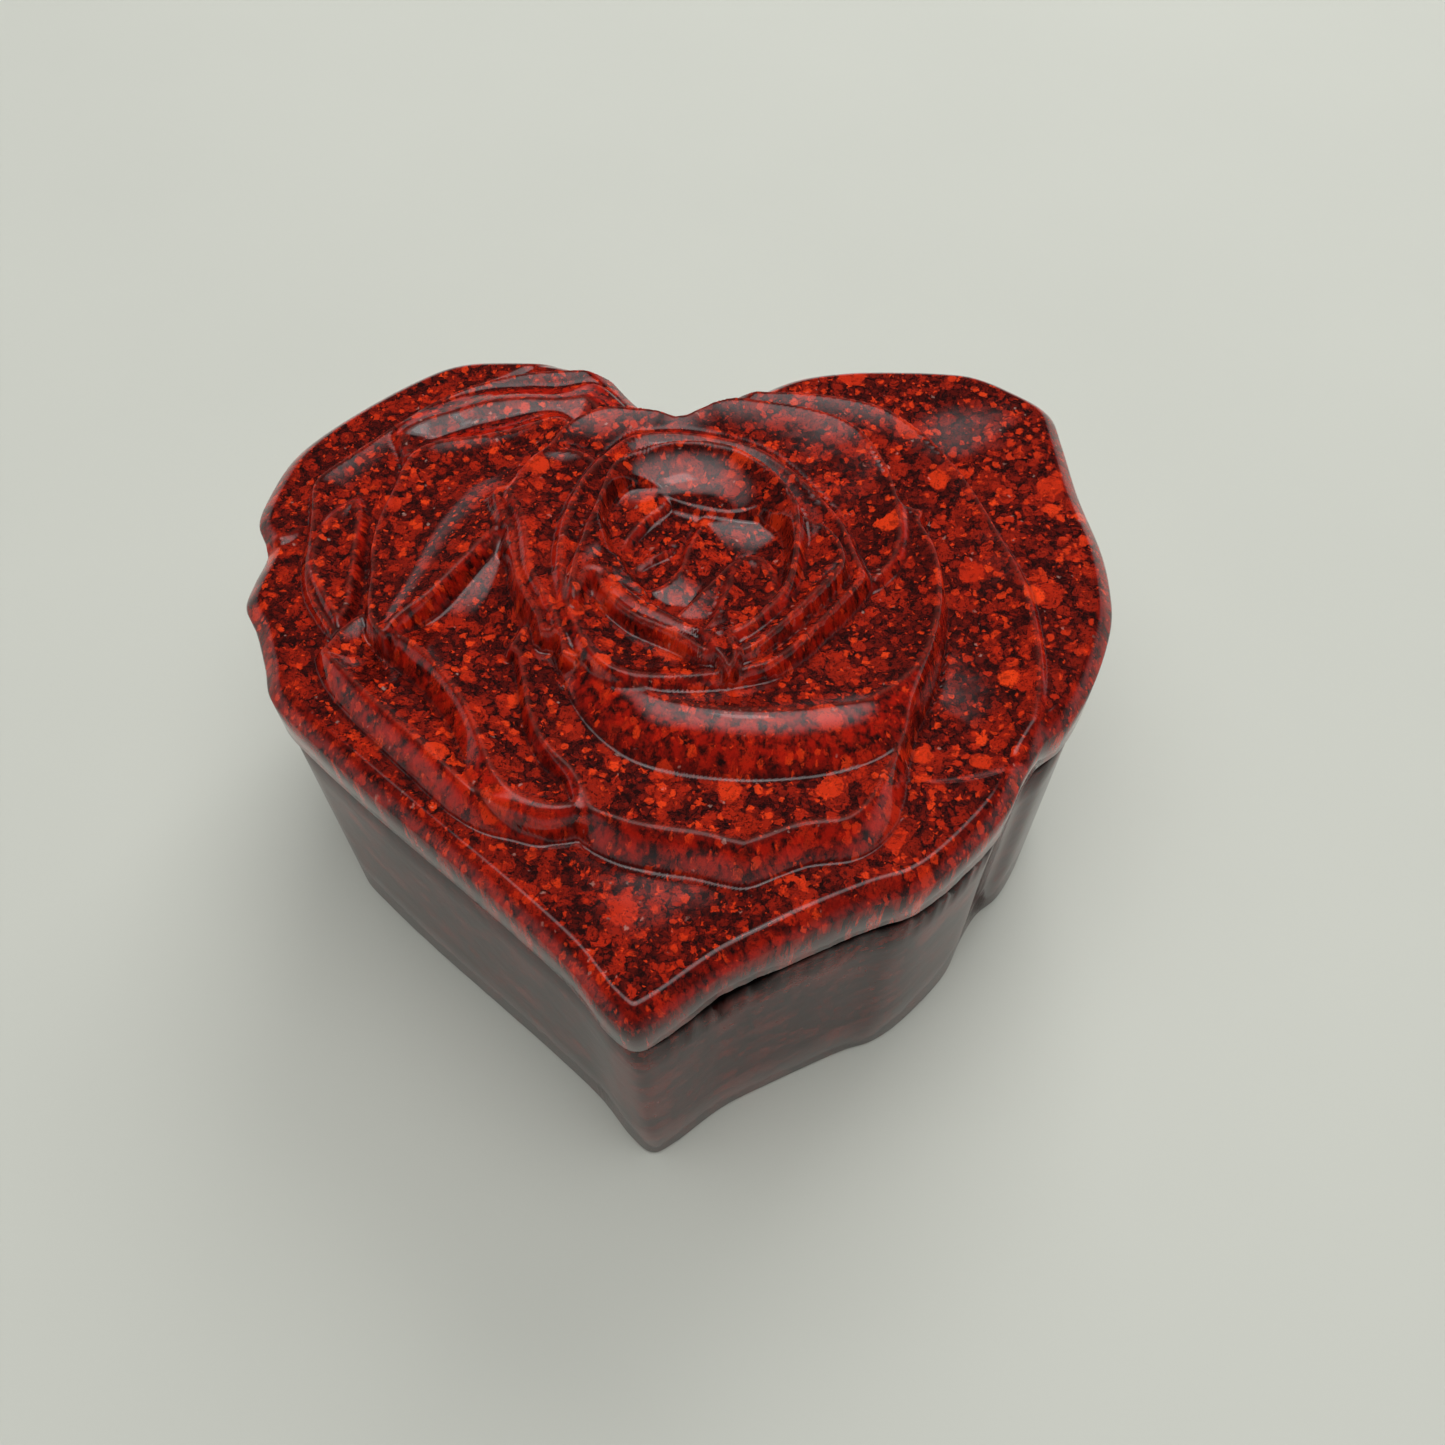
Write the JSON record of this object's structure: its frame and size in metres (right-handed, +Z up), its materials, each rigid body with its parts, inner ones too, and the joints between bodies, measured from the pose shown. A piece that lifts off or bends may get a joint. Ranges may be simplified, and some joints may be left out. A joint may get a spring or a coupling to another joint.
{
  "type": "music box",
  "caption": "Heart-shaped wind-up music box with a carved rose on its hinged lid, a lined tray, a clear-covered comb movement and a key underneath.",
  "frame": {"origin": "under the middle of the whole object, at the height of the surface it stands on", "axes": "+X to the right seen from the heart's tip, +Y from the tip to the hinges, +Z up"},
  "size_m": [0.1304, 0.118, 0.076],
  "materials": {
    "lacquer": "cast resin, mottled black and red lacquer, high gloss",
    "velvet": "short pile flocked lining",
    "board": "dark stained fibreboard",
    "brass": "polished",
    "steel": "ground",
    "zinc": "die-cast zinc, satin",
    "clear": "clear moulded acrylic"
  },
  "bodies": {
    "base": {"base_shell": "lacquer", "bottom_panel": "board", "panel_screw_1": "steel", "panel_screw_2": "steel", "panel_screw_3": "steel", "panel_screw_4": "steel", "floor_lining": "velvet", "wall_lining": "velvet", "hinge_leaf_base_left": "brass", "hinge_leaf_base_right": "brass", "hinge_pin_left": "steel", "hinge_pin_right": "steel", "hinge_screw_base_left_1": "brass", "hinge_screw_base_left_2": "brass", "hinge_screw_base_right_1": "brass", "hinge_screw_base_right_2": "brass", "bedplate": "zinc", "movement_screw_1": "steel", "movement_screw_2": "steel", "movement_screw_3": "steel", "comb": "steel", "comb_screw_1": "brass", "comb_screw_2": "brass", "barrel_bridge": "brass", "governor_frame": "zinc", "click_spring": "steel", "cylinder_bearing": "brass", "plunger_guide": "brass", "plunger_spring": "steel", "movement_cover": "clear"},
    "lid": {"lid_shell": "lacquer", "lid_lining": "velvet", "hinge_leaf_lid_left": "brass", "hinge_leaf_lid_right": "brass", "hinge_screw_lid_left_1": "brass", "hinge_screw_lid_left_2": "brass", "hinge_screw_lid_right_1": "brass", "hinge_screw_lid_right_2": "brass"},
    "winder": {"winding_arbor": "steel", "winding_key": "brass"},
    "barrel": {"spring_barrel": "brass", "barrel_cover": "brass", "mainspring": "steel"},
    "cylinder": {"cylinder_arbor": "brass", "pinned_cylinder": "brass", "cylinder_wheel": "brass"},
    "governor": {"governor_arbor": "steel", "worm_wheel": "brass"},
    "fly": {"worm_shaft": "steel", "fan": "brass"},
    "plunger": {"stop_plunger": "brass"}
  },
  "joints": [
    {"name": "lid_hinge", "type": "hinge", "parent": "base", "child": "lid", "pos_m": [0, 0.0574, 0.05235], "axis": [-1, 0, 0], "range_deg": [0, 100]},
    {"name": "plunger_lift", "type": "slide", "parent": "base", "child": "plunger", "axis": [0, 0, 1], "range_m": [0, 0.0027]},
    {"name": "key_wind", "type": "hinge", "parent": "base", "child": "winder", "pos_m": [0.0157, 0.0158, 0.006], "axis": [0, 0, 1], "continuous": true},
    {"name": "barrel_turn", "type": "hinge", "parent": "base", "child": "barrel", "pos_m": [0.0157, 0.0158, 0.02], "axis": [0, 0, 1], "continuous": true},
    {"name": "cylinder_turn", "type": "hinge", "parent": "base", "child": "cylinder", "pos_m": [0, 0.0158, 0.02897], "axis": [1, 0, 0], "continuous": true},
    {"name": "governor_turn", "type": "hinge", "parent": "base", "child": "governor", "pos_m": [-0.02, 0.02351, 0.02553], "axis": [1, 0, 0], "continuous": true},
    {"name": "fan_turn", "type": "hinge", "parent": "base", "child": "fly", "pos_m": [-0.023, 0.01931, 0.03], "axis": [0, 0, 1], "continuous": true}
  ],
  "couplings": [
    {"joint": "plunger_lift", "follows": "lid_hinge", "m_per_rad": 0.0015},
    {"joint": "cylinder_turn", "follows": "barrel_turn", "ratio": -3},
    {"joint": "governor_turn", "follows": "barrel_turn", "ratio": 12},
    {"joint": "fan_turn", "follows": "barrel_turn", "ratio": 240}
  ]
}
